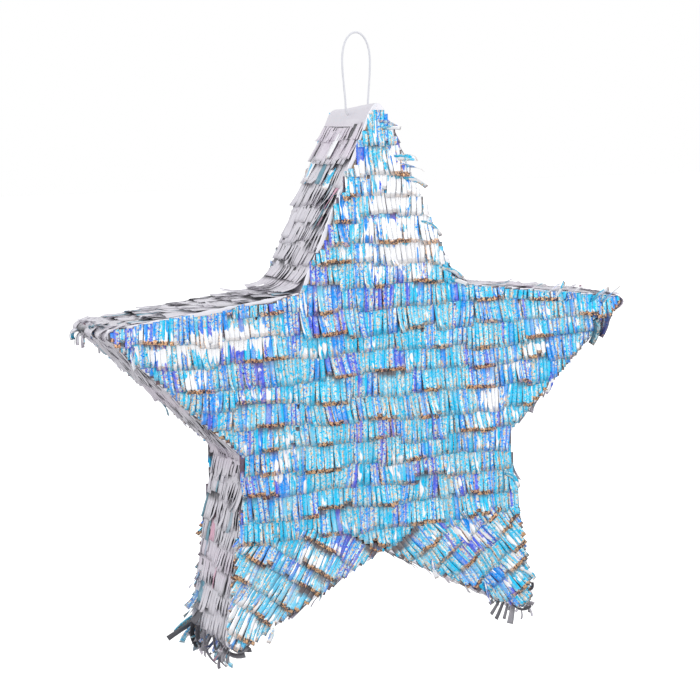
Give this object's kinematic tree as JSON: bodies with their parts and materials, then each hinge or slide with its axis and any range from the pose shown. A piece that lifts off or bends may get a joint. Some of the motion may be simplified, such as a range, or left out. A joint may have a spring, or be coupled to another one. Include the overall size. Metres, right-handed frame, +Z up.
{
  "type": "pinata",
  "caption": "Hanging star pinata: hollow cardboard box covered in overlapping iridescent foil fringe, with a thread loop and a fold-out fill flap.",
  "frame": {"origin": "inside of the crown of the hanging loop, where the hook or rope bears", "axes": "+Z up, +X to the right seen from the front, front face towards -Y"},
  "size_m": [0.4774, 0.0808, 0.505],
  "materials": {
    "cardboard": "matte",
    "paper_tape": "satin",
    "foil_faces": "gloss",
    "foil_sides": "satin",
    "thread": "satin"
  },
  "bodies": {
    "loop": {"hanging_loop": "thread", "loop_knot": "thread"},
    "star": {"back_edge_tape": "paper_tape", "back_fringe_left_arm": "foil_faces", "back_fringe_left_leg": "foil_faces", "back_fringe_middle": "foil_faces", "back_fringe_right_arm": "foil_faces", "back_fringe_right_leg": "foil_faces", "back_fringe_top_arm": "foil_faces", "back_panel": "cardboard", "front_edge_tape": "paper_tape", "front_fringe_left_arm": "foil_faces", "front_fringe_left_leg": "foil_faces", "front_fringe_middle": "foil_faces", "front_fringe_right_arm": "foil_faces", "front_fringe_right_leg": "foil_faces", "front_fringe_top_arm": "foil_faces", "front_panel": "cardboard", "left_arm_lower_fringe": "foil_sides", "left_arm_lower_wall": "cardboard", "left_arm_upper_fringe": "foil_sides", "left_arm_upper_wall": "cardboard", "left_leg_inner_fringe": "foil_sides", "left_leg_inner_wall": "cardboard", "left_leg_outer_fringe": "foil_sides", "left_leg_outer_wall": "cardboard", "left_tip_board": "cardboard", "left_tip_wrap": "foil_sides", "lower_left_tip_board": "cardboard", "lower_left_tip_wrap": "foil_sides", "lower_right_tip_board": "cardboard", "lower_right_tip_wrap": "foil_sides", "right_arm_lower_fringe": "foil_sides", "right_arm_lower_wall": "cardboard", "right_arm_upper_fringe": "foil_sides", "right_arm_upper_wall": "cardboard", "right_leg_inner_fringe": "foil_sides", "right_leg_inner_wall": "cardboard", "right_leg_outer_fringe": "foil_sides", "right_leg_outer_wall": "cardboard", "right_tip_board": "cardboard", "right_tip_wrap": "foil_sides", "top_arm_left_fringe": "foil_sides", "top_arm_left_wall": "cardboard", "top_arm_right_fringe": "foil_sides", "top_arm_right_wall": "cardboard", "top_tip_board": "cardboard", "top_tip_wrap": "foil_sides"},
    "flap": {"fill_flap": "cardboard", "fill_flap_fringe": "foil_faces"}
  },
  "joints": [
    {"name": "star_swing", "type": "hinge", "parent": "loop", "child": "star", "pos_m": [0, 0, -0.06802], "axis": [1, 0, 0], "range_deg": [-75, 75]},
    {"name": "flap_fold", "type": "hinge", "parent": "star", "child": "flap", "pos_m": [0, 0.038, -0.253], "axis": [1, 0, 0], "range_deg": [0, 100]}
  ]
}
